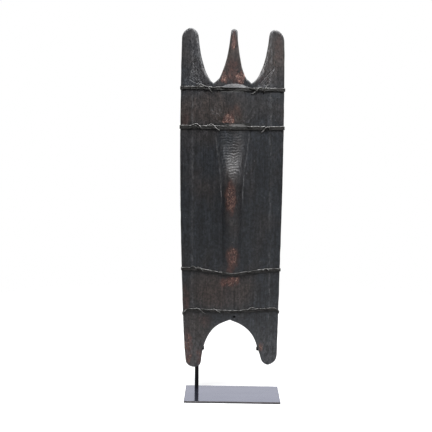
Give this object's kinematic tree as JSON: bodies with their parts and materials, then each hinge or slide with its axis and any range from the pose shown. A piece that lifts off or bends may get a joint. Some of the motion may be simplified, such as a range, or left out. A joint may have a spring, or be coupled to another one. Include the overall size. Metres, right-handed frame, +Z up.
{
  "type": "wooden war shield on a stand",
  "caption": "Tall carved wooden shield with prongs at the top, legs at the foot, a central boss and cane lashings, on a rod stand.",
  "frame": {"origin": "centre of the base plate's underside", "axes": "+Z up, the shield's front towards -Y, +X to the right of someone who faces the front"},
  "size_m": [0.3616, 0.186, 1.2462],
  "materials": {
    "dark_wood": "soot-dark, hand-rubbed wood, worn to reddish brown on the ridge",
    "split_cane": "smoked split cane, dull",
    "black_steel": "black, satin to gloss"
  },
  "bodies": {
    "root": {"shield_board": "dark_wood", "upper_lashing": "split_cane", "second_lashing": "split_cane", "third_lashing": "split_cane", "lower_lashing": "split_cane", "stand_base_plate": "black_steel", "stand_frame": "black_steel"}
  },
  "joints": []
}
